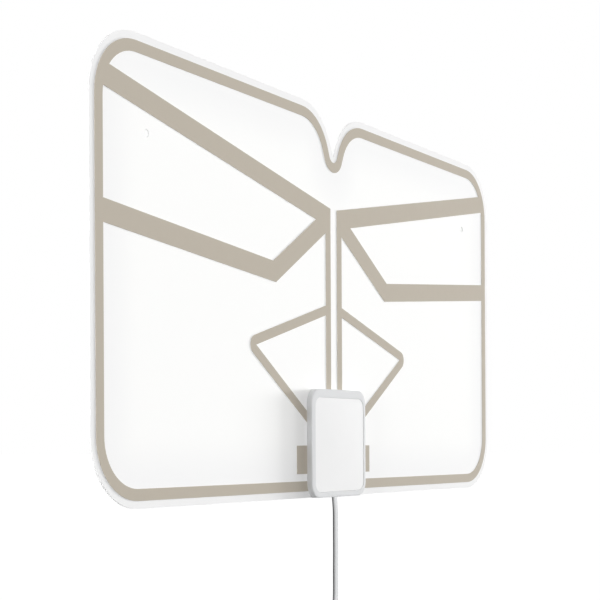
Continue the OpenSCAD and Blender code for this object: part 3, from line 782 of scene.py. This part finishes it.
@dataclass
class AmplifierHousing:
    """Two moulded shells clamped on the film, with a paler inlay in front.

    Fields that end in _z or _y are heights and depths in the frame, screws
    are at (x, z) on either side, and the lead's centre is (x, y).
    """

    wardrobe: Wardrobe
    half_w: float = 26.3
    low_z: float = -151.2
    high_z: float = -98.6
    corner_r: float = 7.0
    wall: float = 1.2
    round_w: float = 2.6
    round_d: float = 0.6
    front_start_y: float = -0.65
    front_floor_y: float = -2.3
    front_face_y: float = -3.9
    rear_start_y: float = 0.0
    rear_floor_y: float = 2.8
    rear_face_y: float = 4.0
    inlay_side: float = 2.6
    inlay_top: float = 4.2
    inlay_bottom: float = 2.7
    inlay_r: float = 4.8
    inlay_seat_y: float = -3.1
    inlay_face_y: float = -3.7
    inlay_gap: float = 0.03
    inlay_ease: float = 0.12
    lip: float = 0.15
    lip_bend: float = 0.3
    screws: tuple = ((20.5, -104.5), (12.6, -137.2))
    boss_r: float = 2.6
    boss_ends: tuple = (0.01, 3.2)
    head_r: float = 2.1
    head_ends: tuple = (2.5, 5.0)
    screw_r: float = 1.1
    screw_ends: tuple = (-1.0, 5.0)
    lead_centre: tuple = (0.0, -0.25)
    lead_r: float = 1.35
    lead_ends: tuple = (-152.0, -149.0)

    def ring(self, inset: float, y: float) -> np.ndarray:
        """The housing's outline drawn in by an inset, at depth y."""
        half, low_z, high_z = self.half_w - inset, self.low_z + inset, self.high_z - inset
        return rounded_ring((-half, low_z), (half, high_z), self.corner_r - inset, y)

    def inlay_ring(self, inset: float, y: float) -> np.ndarray:
        """The inlay's outline drawn in by an inset, at depth y.

        Args:
            inset: How far inside the recess the ring lies.
            y: The ring's depth.

        Returns:
            An array of points by 3.
        """
        half = self.half_w - self.inlay_side - inset
        low = (-half, self.low_z + self.inlay_bottom + inset)
        high = (half, self.high_z - self.inlay_top - inset)
        return rounded_ring(low, high, self.inlay_r - inset, y)

    def edge_rings(self, face_y: float, steps: int = 10) -> list[np.ndarray]:
        """Rings of the rounded edge, a quarter of an ellipse from wall to face.

        The inset is w (1 - cos a) and the depth is the face's, less
        d (1 - sin a) towards the film.

        Args:
            face_y: Depth of the face that the edge ends in.
            steps: How many rings there are.

        Returns:
            The rings, from the wall to the face.
        """
        turn = np.radians(np.linspace(0, 90, steps))
        insets = self.round_w * (1 - np.cos(turn))
        depths = face_y - math.copysign(self.round_d, face_y) * (1 - np.sin(turn))
        return [self.ring(inset, depth) for inset, depth in zip(insets, depths)]

    def front_shell(self) -> Thing:
        """The front shell: a tray whose rounded rim stands round the inlay.

        Its rings run from the inside of its wall over the rim to its recess.

        Returns:
            The piece.
        """
        bend = self.lip * self.lip_bend
        rings = [
            self.ring(self.wall, self.front_floor_y),
            self.ring(self.wall, self.front_start_y),
            self.ring(0, self.front_start_y),
            *self.edge_rings(self.front_face_y),
            self.inlay_ring(-self.lip, self.front_face_y),
            self.inlay_ring(-bend, self.front_face_y + bend),
            self.inlay_ring(0, self.front_face_y + self.lip),
            self.inlay_ring(0, self.inlay_seat_y),
        ]
        return lofted("housing_front", np.stack(rings))

    def inlay(self, steps: int = 5) -> Thing:
        """The smooth panel: a plate with an eased upper edge.

        The edge's inset is e (1 - cos a) and its depth e (1 - sin a).

        Args:
            steps: How many rings the eased edge has.

        Returns:
            The piece.
        """
        turn = np.radians(np.linspace(0, 90, steps))
        insets = self.inlay_gap + self.inlay_ease * (1 - np.cos(turn))
        depths = self.inlay_face_y + self.inlay_ease * (1 - np.sin(turn))
        rings = [self.inlay_ring(self.inlay_gap, self.inlay_seat_y)]
        rings += [self.inlay_ring(inset, depth) for inset, depth in zip(insets, depths)]
        return lofted("housing_inlay", np.stack(rings))

    def rear_shell(self) -> Thing:
        """The rear shell: a tray with four bosses and a counterbore at each.

        Returns:
            The piece.
        """
        rings = [
            self.ring(self.wall, self.rear_floor_y),
            self.ring(self.wall, self.rear_start_y),
            self.ring(0, self.rear_start_y),
            *self.edge_rings(self.rear_face_y),
        ]
        shell = lofted("housing_rear", np.stack(rings))
        places = [(side * x, z) for x, z in self.screws for side in (-1, 1)]
        steps = (
            (self.boss_r, self.boss_ends, Shaping.ADD),
            (self.head_r, self.head_ends, Shaping.CUT),
            (self.screw_r, self.screw_ends, Shaping.CUT),
        )
        for radius, ends, how in steps:
            shape(shell, [drum(place, radius, ends) for place in places], how)
        return shell

    def build(self) -> list[Thing]:
        """Makes and dresses the shells and the inlay.

        Returns:
            The three pieces.
        """
        front, inlay, rear = self.front_shell(), self.inlay(), self.rear_shell()
        for shell in (front, rear):
            way = drum(self.lead_centre, self.lead_r, self.lead_ends, upright=True)
            shape(shell, [way], Shaping.CUT)
        made = (("front_shell", front, SHELL), ("front_inlay", inlay, INLAY), ("rear_shell", rear, SHELL))
        for node, piece, finish in made:
            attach(piece, BODY)
            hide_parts(node)
            self.wardrobe.dress(piece, finish)
        return [front, inlay, rear]


@dataclass
class AmplifierParts:
    """Board, contacts, screws and the stripped end of the lead, as the CAD has them."""

    wardrobe: Wardrobe

    def build(self) -> list[Thing]:
        """Dresses each node with its own finish and returns them."""
        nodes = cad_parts
        return [self.wardrobe.dress(nodes[name], finish) for name, finish in PLAIN_NODES.items()]


@dataclass
class AerialPlug:
    """The coaxial plug: a grip, an outer contact, an insulator and a pin.

    Fields that end in _r are radii and those that end in _ease round the
    corners. The others, but for the grooves' sizes, are depths below the top.
    """

    wardrobe: Wardrobe
    axis: tuple = (0.0, -6.5)
    top_z: float = -246.0
    neck_r: float = 2.0
    neck_end_r: float = 2.4
    neck_end: float = 6.0
    shoulder_r: float = 4.55
    shoulder: float = 7.0
    grip_r: float = 5.75
    grip_start: float = 10.0
    grip_end: float = 27.2
    groove_r: float = 5.35
    groove_start: float = 13.2
    groove_w: float = 0.8
    groove_pitch: float = 2.0
    groove_count: int = 5
    mouth_r: float = 4.95
    mouth: float = 28.0
    seat: float = 25.0
    sleeve_r: float = 4.35
    sleeve_bore_r: float = 3.85
    contact_r: float = 4.75
    contact_bore_r: float = 4.25
    step: float = 28.3
    step_w: float = 0.3
    contact_end: float = 37.0
    insulator_end: float = 27.8
    pin_r: float = 1.15
    pin_tip_r: float = 0.55
    pin_shoulder: float = 37.4
    pin_end: float = 38.0
    grip_ease: float = 0.35
    sleeve_ease: float = 0.08
    insulator_ease: float = 0.1
    pin_ease: float = 0.2

    def grip_profile(self) -> list:
        """The grip's section: a tapered neck, a shoulder, grooves and a socket.

        Returns:
            Points of (radius, depth).
        """
        grooves = []
        for k in range(self.groove_count):
            start = self.groove_start + k * self.groove_pitch
            end = start + self.groove_w
            grooves += [(self.grip_r, start), (self.groove_r, start)]
            grooves += [(self.groove_r, end), (self.grip_r, end)]
        neck = [(0, 0), (self.neck_r, 0), (self.neck_end_r, self.neck_end)]
        body = [(self.shoulder_r, self.shoulder), (self.grip_r, self.grip_start), *grooves]
        end = [(self.grip_r, self.grip_end), (self.mouth_r, self.mouth)]
        return neck + body + end + [(self.sleeve_r, self.mouth), (self.sleeve_r, self.seat), (0, self.seat)]

    def sleeve_profile(self) -> list:
        """The outer contact's section: a tube that widens where it leaves the grip.

        Returns:
            Points of (radius, depth).
        """
        wide, end, chamfer = self.step + self.step_w, self.contact_end, self.step_w
        outside = [(self.sleeve_bore_r, self.seat), (self.sleeve_r, self.seat), (self.sleeve_r, self.step)]
        contact = [(self.contact_r, wide), (self.contact_r, end - chamfer), (self.contact_r - chamfer, end)]
        inside = [(self.contact_bore_r, end), (self.contact_bore_r, wide), (self.sleeve_bore_r, self.step)]
        return outside + contact + inside

    def build(self) -> list[Thing]:
        """Turns and dresses the four pieces.

        Returns:
            The pieces, from the grip to the pin.
        """
        insulator = [(self.pin_r, self.seat), (self.sleeve_bore_r, self.seat)]
        insulator += [(self.sleeve_bore_r, self.insulator_end), (self.pin_r, self.insulator_end)]
        pin = [(0, self.seat), (self.pin_r, self.seat), (self.pin_r, self.pin_shoulder)]
        pin += [(self.pin_tip_r, self.pin_end), (0, self.pin_end)]
        parts = (
            ("body", self.grip_profile(), PLUG, self.grip_ease),
            ("sleeve", self.sleeve_profile(), NICKEL, self.sleeve_ease),
            ("insulator", insulator, INSULATION, self.insulator_ease),
            ("pin", pin, NICKEL, self.pin_ease),
        )
        pieces = []
        for name, profile, finish, ease in parts:
            piece = turned(f"aerial_{name}", eased(profile, ease), self.axis, self.top_z)
            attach(piece, BODY)
            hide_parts(f"plug_{name}")
            pieces.append(self.wardrobe.dress(piece, finish))
        return pieces


@dataclass
class CoaxLead:
    """The thin lead: its hanging stretch, the stored coil, its tie and its plug.
    """

    wardrobe: Wardrobe
    diameter: float = 2.5
    length_m: float = 1.5
    exit_m: tuple = (0.0, -0.00025, -0.1512)
    lead_route_m: tuple = (
        (0, -0.00025, -0.143), (0, -0.00025, -0.149), (0, -0.00025, -0.1515),
        (0, -0.0004, -0.153), (0, -0.0006, -0.155), (0, -0.0008, -0.158),
        (0, -0.0008, -0.162), (0, -0.0008, -0.168), (0, -0.0008, -0.174),
        (0, -0.0008, -0.18), (0, -0.0007, -0.186), (0, -0.0007, -0.192),
        (0, -0.0007, -0.197), (0, -0.0006, -0.201), (0, -0.0004, -0.204),
        (0, 0, -0.207), (0, 0.0005, -0.21), (0, 0.0008, -0.213),
        (0, 0.001, -0.216), (0, 0.001, -0.219), (0, 0.001, -0.223),
    )
    tail_route_m: tuple = (
        (0, -0.0065, -0.229), (0, -0.0065, -0.234),
        (0, -0.0065, -0.239), (0, -0.0065, -0.246),
    )
    coil_centre: tuple = (-17.75, -226.0)
    outer_r: float = 17.75
    layers: int = 4
    columns: int = 4
    jogs_deg: tuple = (322, 272, 230, 180, 155, 105, 63, 13)
    first_y: float = 1.0
    tube_sides: int = 14
    tube_sharp_deg: float = 60.0
    ring_step: float = 1.25
    smoothings: int = 3

    def wound(self, step_deg: float = 5.0) -> np.ndarray:
        """Middle line of the coil.

        The angle a runs on through all turns, and the point is
        (cx + r cos a, y, cz - r sin a). The radius r and the depth y stay the
        same but for short jogs, where they change by one diameter along two
        joined parabolas. A column is wound inwards, the next one outwards, and
        each kind of jog has its own sector, so no turn cuts another.

        Args:
            step_deg: Degrees from one point to the next.

        Returns:
            An array of points by 3, in millimetres.
        """
        turns = self.layers * self.columns
        angle = np.arange(0, 360.0 * turns + step_deg / 2, step_deg)
        radius = np.full_like(angle, self.outer_r)
        depth = np.full_like(angle, self.first_y)
        for turn in range(turns - 1):
            column, layer = divmod(turn, self.layers)
            crosses = layer == self.layers - 1
            slot = 2 * column + (1 if crosses else 0)
            start, end = self.jogs_deg[slot + 1], self.jogs_deg[slot]
            t = np.clip((angle - 360.0 * turn - start) / (end - start), 0, 1)
            share = np.where(t < 0.5, 2 * t * t, 1 - 2 * (1 - t) ** 2)
            if crosses:
                depth -= self.diameter * share
            else:
                radius += self.diameter * share * (1 if column % 2 else -1)
        turned_by = np.radians(angle)
        x = self.coil_centre[0] + radius * np.cos(turned_by)
        z = self.coil_centre[1] - radius * np.sin(turned_by)
        return np.stack([x, depth, z], -1)

    def middle_line(self) -> np.ndarray:
        """The whole lead from inside the housing to the plug, evenly close.

        The line is set out at equal steps along its length and smoothed a few
        times, each point with a quarter of either neighbour.

        Returns:
            An array of points by 3, in millimetres.
        """
        start, end = np.array(self.lead_route_m) / MM, np.array(self.tail_route_m) / MM
        rough = np.concatenate([start, self.wound(), end])
        steps = np.linalg.norm(np.diff(rough, axis=0), axis=1)
        along = np.concatenate([[0], np.cumsum(steps)])
        wanted = np.linspace(0, along[-1], int(along[-1] / self.ring_step))
        line = np.stack([np.interp(wanted, along, rough[:, k]) for k in range(3)], -1)
        for _ in range(self.smoothings):
            line[1:-1] = 0.25 * line[:-2] + 0.5 * line[1:-1] + 0.25 * line[2:]
        return line

    def tube(self, line: np.ndarray) -> Thing:
        """A round tube along the line, which carries its own map.

        Each ring is p + r (n cos a + b sin a). The normal n is the Y axis less
        its part along the tangent, as no stretch runs along Y, and b is the
        tangent times n. The map is (r cos a, r sin a, run) in millimetres.

        Args:
            line: The tube's middle line.

        Returns:
            The piece, with the map in its attribute lead_run.
        """
        tangent = np.gradient(line, axis=0)
        tangent /= np.linalg.norm(tangent, axis=1, keepdims=True)
        normal = np.array([0.0, 1.0, 0.0]) - tangent * tangent[:, 1:2]
        normal /= np.linalg.norm(normal, axis=1, keepdims=True)
        across = np.cross(tangent, normal)
        angle = np.linspace(0, 2 * np.pi, self.tube_sides, endpoint=False)
        radius = self.diameter / 2
        side, front = radius * np.cos(angle), radius * np.sin(angle)
        offset = normal[:, None] * side[None, :, None] + across[:, None] * front[None, :, None]
        piece = lofted("coax_cable", line[:, None] + offset, self.tube_sharp_deg)
        run = np.arange(len(line))[:, None] * self.ring_step
        places = np.stack(np.broadcast_arrays(side[None, :], front[None, :], run), -1)
        attribute = piece.data.attributes.new("lead_run", "FLOAT_VECTOR", "POINT")
        attribute.data.foreach_set("vector", places.astype(np.float32).ravel())
        return piece

    def build(self) -> list[Thing]:
        """Returns:
            The cable first, then the tie and the plug's pieces.
        """
        line = self.middle_line()
        cable = self.tube(line)
        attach(cable, BODY)
        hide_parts("coax_lead", "coax_tail", "coax_coil")
        self.wardrobe.dress(cable, JACKET)
        tie = self.wardrobe.dress(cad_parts["coil_tie"], TIE)
        plug = AerialPlug(self.wardrobe).build()
        return [cable, tie, *plug]


class Group(Enum):
    """Which pieces a lamp lights."""

    SHEET = "sheet"
    SOLIDS = "solids"
    LEAD = "lead"
    FLOOR = "floor"


class Facing(Enum):
    """The way a surface faces on which a lamp's level is counted."""

    FRONT = (0.0, -1.0, 0.0)
    BACK = (0.0, 1.0, 0.0)
    LEFT = (-1.0, 0.0, 0.0)
    RIGHT = (1.0, 0.0, 0.0)
    BELOW = (0.0, 0.0, -1.0)
    LEAD = (-0.3165, -0.9486, 0.0)


@dataclass(frozen=True)
class Softbox:
    """A flat lamp, given by how bright it makes a white surface.

    Attributes:
        name: The lamp's name.
        place: Where it stands, in metres.
        size: Its width and height in metres.
        level: Brightness of a white surface, 1 being full white.
        facing: The way that surface faces.
        groups: Which pieces it lights.
    """

    name: str
    place: tuple[float, float, float]
    size: tuple[float, float]
    level: float
    facing: Facing
    groups: tuple[Group, ...]


SHEET, SOLIDS, LEAD = (Group.SHEET,), (Group.SOLIDS,), (Group.LEAD,)

SOFTBOXES = (
    Softbox("sheet_key", (-1.3, -2.8, 0.4), (1.8, 1.8), 0.482, Facing.FRONT, SHEET),
    Softbox("rake_low", (5.0, -0.5, 0.3), (0.5, 0.5), 0.235, Facing.FRONT, SHEET),
    Softbox("rake_middle", (5.0, -1.2, 0.6), (1.0, 2.5), 0.15, Facing.FRONT, SHEET),
    Softbox("rake_high", (4.4, -2.8, 1.0), (2.0, 5.0), 0.112, Facing.FRONT, SHEET),
    Softbox("sheet_edge", (-3.0, -0.1, 0.1), (0.8, 0.8), 0.95, Facing.LEFT, SHEET),
    Softbox("solid_key", (-0.1, -4.2, 1.4), (2.2, 2.2), 0.69, Facing.FRONT, SOLIDS),
    Softbox("left_fill", (-2.6, -1.0, -0.1), (1.4, 1.4), 0.18, Facing.LEFT, SOLIDS),
    Softbox("right_fill", (2.6, -0.6, 0.1), (1.2, 1.2), 0.74, Facing.RIGHT, SOLIDS),
    Softbox("low_fill", (-0.8, -0.9, -2.2), (1.6, 1.6), 0.25, Facing.BELOW, SOLIDS),
    Softbox("lead_key", (-0.88, -2.63, -0.1), (0.9, 0.9), 1.03, Facing.LEAD, LEAD),
    Softbox("lead_rear", (2.4, 1.5, 0.2), (1.2, 1.2), 1.0, Facing.RIGHT, LEAD),
    Softbox("rear_left", (-2.4, 1.1, 0.2), (1.4, 1.4), 0.5, Facing.LEFT, SOLIDS),
    Softbox("rear_key", (0.8, 2.8, 0.5), (1.8, 1.8), 0.93, Facing.BACK, SHEET + SOLIDS),
)


@dataclass
class Studio:
    """Camera, lamps, world and floor, in metres but for the lens.

    The lamps' levels on the sheet add up to about white, so that its colours
    render as they are written. The sheet, the solids and the lead have lamps
    of their own, because the photograph's light on them differs.
    """

    target: tuple = (0.0, 0.0, -0.125)
    world_level: float = 0.06
    camera_place: tuple = (-0.5956, -0.3460, -0.1263)
    camera_forward: tuple = (0.8523, 0.5230, 0.0)
    sensor_mm: float = 36.0
    lens_mm: float = 83.66
    shift_y: float = 0.2437
    roll_deg: float = -0.28
    clip: tuple = (0.01, 100.0)
    sun_level: float = 0.45
    sun_away: tuple = (-0.35, -0.45, 0.8)
    sun_deg: float = 14.0
    floor_z: float = -0.34
    floor_half: float = 30.0
    floor_seen: str = "#e8e8e8"
    floor_unseen: str = "#3c3c3c"
    floor_lift: float = 0.62
    blockers: Optional[bpy.types.Collection] = None

    def camera(self) -> None:
        """Stands the camera level, turned by the photograph's slight roll."""
        data = bpy.data.cameras.new("camera")
        data.sensor_width, data.lens, data.shift_y = self.sensor_mm, self.lens_mm, self.shift_y
        data.clip_start, data.clip_end = self.clip
        stand = bpy.data.objects.new("camera", data)
        bpy.context.scene.collection.objects.link(stand)
        aim = Vector(self.camera_forward).to_track_quat("-Z", "Y").to_matrix().to_4x4()
        roll = Matrix.Rotation(math.radians(self.roll_deg), 4, "Z")
        stand.matrix_world = Matrix.Translation(self.camera_place) @ aim @ roll
        bpy.context.scene.camera = stand

    def world(self) -> None:
        """White to the camera, in reflections and through glass, else a low even light."""
        world = bpy.data.worlds.new("studio")
        bpy.context.scene.world = world
        world.use_nodes = True
        world.node_tree.nodes.clear()
        add = partial(add_node, world.node_tree)
        path = add("ShaderNodeLightPath").outputs
        direct = {0: path["Is Camera Ray"], 1: path["Is Glossy Ray"]}
        either = add(MATH, direct, operation="MAXIMUM")
        seen = add(MATH, {0: either, 1: path["Is Transmission Ray"]}, operation="MAXIMUM")
        level = add(RANGE, {"Value": seen, "To Min": self.world_level, "To Max": 1.0})
        white = add("ShaderNodeBackground", {"Color": linear("#ffffff"), "Strength": level})
        add("ShaderNodeOutputWorld", {"Surface": white})

    def floor(self) -> Thing:
        """A pale floor that shows white where it is open and keeps the shadow.

        It is dark to the light that it would throw back on the object, and
        clear from below, so that views from there show the object.

        Returns:
            The floor.
        """
        size = self.floor_half
        corners = [(x * size, y * size, self.floor_z) for x, y in ((-1, -1), (1, -1), (1, 1), (-1, 1))]
        mesh = bpy.data.meshes.new("floor")
        mesh.from_pydata(corners, [], [(0, 1, 2, 3)])
        floor = bpy.data.objects.new("floor", mesh)
        bpy.context.scene.collection.objects.link(floor)
        made = bpy.data.materials.new("studio_floor_painted")
        made.use_nodes = True
        made.node_tree.nodes.clear()
        add = partial(add_node, made.node_tree)
        path = add("ShaderNodeLightPath").outputs
        direct = {0: path["Is Camera Ray"], 1: path["Is Glossy Ray"]}
        seen = add(MATH, direct, operation="MAXIMUM")
        tones = {"A": linear(self.floor_unseen), "B": linear(self.floor_seen)}
        tone = add(MIX, {"Factor": seen, **tones}, data_type="RGBA")
        paint = add("ShaderNodeBsdfDiffuse", {"Color": tone})
        glow = add(MATH, {0: seen, 1: self.floor_lift}, operation="MULTIPLY")
        lift = add("ShaderNodeEmission", {"Strength": glow})
        top = add("ShaderNodeAddShader", {0: paint, 1: lift})
        below = add("ShaderNodeNewGeometry").outputs["Backfacing"]
        clear = add("ShaderNodeBsdfTransparent")
        whole = add("ShaderNodeMixShader", {0: below, 1: top, 2: clear})
        add("ShaderNodeOutputMaterial", {"Surface": whole})
        mesh.materials.append(made)
        return floor

    def lamp(self, box: Softbox, pieces: dict[Group, list[Thing]]) -> None:
        """Stands one softbox and gives it the power for its level.

        A flat lamp of power P at distance d lights a surface by
        P cos(surface) cos(lamp) / (pi d)^2, and every lamp here faces the
        target, so P is level (pi d)^2 / cos(surface).

        Args:
            box: The softbox.
            pieces: The pieces of each group.
        """
        data = bpy.data.lights.new(box.name, "AREA")
        data.shape, data.size, data.size_y = "RECTANGLE", *box.size
        away = Vector(box.place) - Vector(self.target)
        facing = away.normalized().dot(Vector(box.facing.value))
        data.energy = box.level * (math.pi * away.length) ** 2 / facing
        stand = bpy.data.objects.new(box.name, data)
        stand.location = box.place
        self.aim(stand, away, [piece for group in box.groups for piece in pieces[group]])

    def sun(self, floor: Thing) -> None:
        """An even light on the floor alone, so that it is white to the horizon.

        A sun of strength S lights a level surface by S cos / pi.

        Args:
            floor: The floor.
        """
        data = bpy.data.lights.new("floor_sun", "SUN")
        away = Vector(self.sun_away)
        data.energy = self.sun_level * math.pi / away.normalized().z
        data.angle = math.radians(self.sun_deg)
        self.aim(bpy.data.objects.new("floor_sun", data), away, [floor])

    def aim(self, stand: Thing, away: Vector, lit: list[Thing]) -> None:
        """Turns a lamp to the target and lets it light some pieces only.

        The antenna's pieces throw its shadows, and the floor doesn't stop it.

        Args:
            stand: The lamp's object.
            away: The way from the target to the lamp.
            lit: The pieces that it lights.
        """
        bpy.context.scene.collection.objects.link(stand)
        stand.rotation_mode = "QUATERNION"
        stand.rotation_quaternion = away.to_track_quat("Z", "Y")
        stand.visible_camera = False
        stand.visible_glossy = False
        receivers = bpy.data.collections.new(f"lit_by_{stand.name}")
        for piece in lit:
            receivers.objects.link(piece)
        stand.light_linking.receiver_collection = receivers
        stand.light_linking.blocker_collection = self.blockers

    def light(self, pieces: dict[Group, list[Thing]]) -> None:
        """Makes the world and all lamps, and shows colours as they are written.

        Args:
            pieces: The pieces of each group.
        """
        self.world()
        self.blockers = bpy.data.collections.new("throws_shadow")
        for group in (Group.SHEET, Group.SOLIDS, Group.LEAD):
            for piece in pieces[group]:
                self.blockers.objects.link(piece)
        for box in SOFTBOXES:
            self.lamp(box, pieces)
        self.sun(pieces[Group.FLOOR][0])
        bpy.context.scene.view_settings.view_transform = "Standard"


def main() -> None:
    """Builds the studio and the antenna, piece by piece."""
    logging.basicConfig(level=logging.INFO, format="%(name)s: %(message)s")
    wardrobe = Wardrobe()
    studio = Studio()
    studio.camera()
    cable, *lead_end = CoaxLead(wardrobe).build()
    sheet = FilmSheet(wardrobe).build()
    solids = [*lead_end, *AmplifierHousing(wardrobe).build(), *AmplifierParts(wardrobe).build()]
    groups = {Group.SHEET: sheet, Group.SOLIDS: solids, Group.LEAD: [cable], Group.FLOOR: [studio.floor()]}
    studio.light(groups)
    for piece in [cable, *sheet, *solids]:
        log.info("%s: %d faces", piece.name, len(piece.data.polygons))


if __name__ == "__main__":
    main()
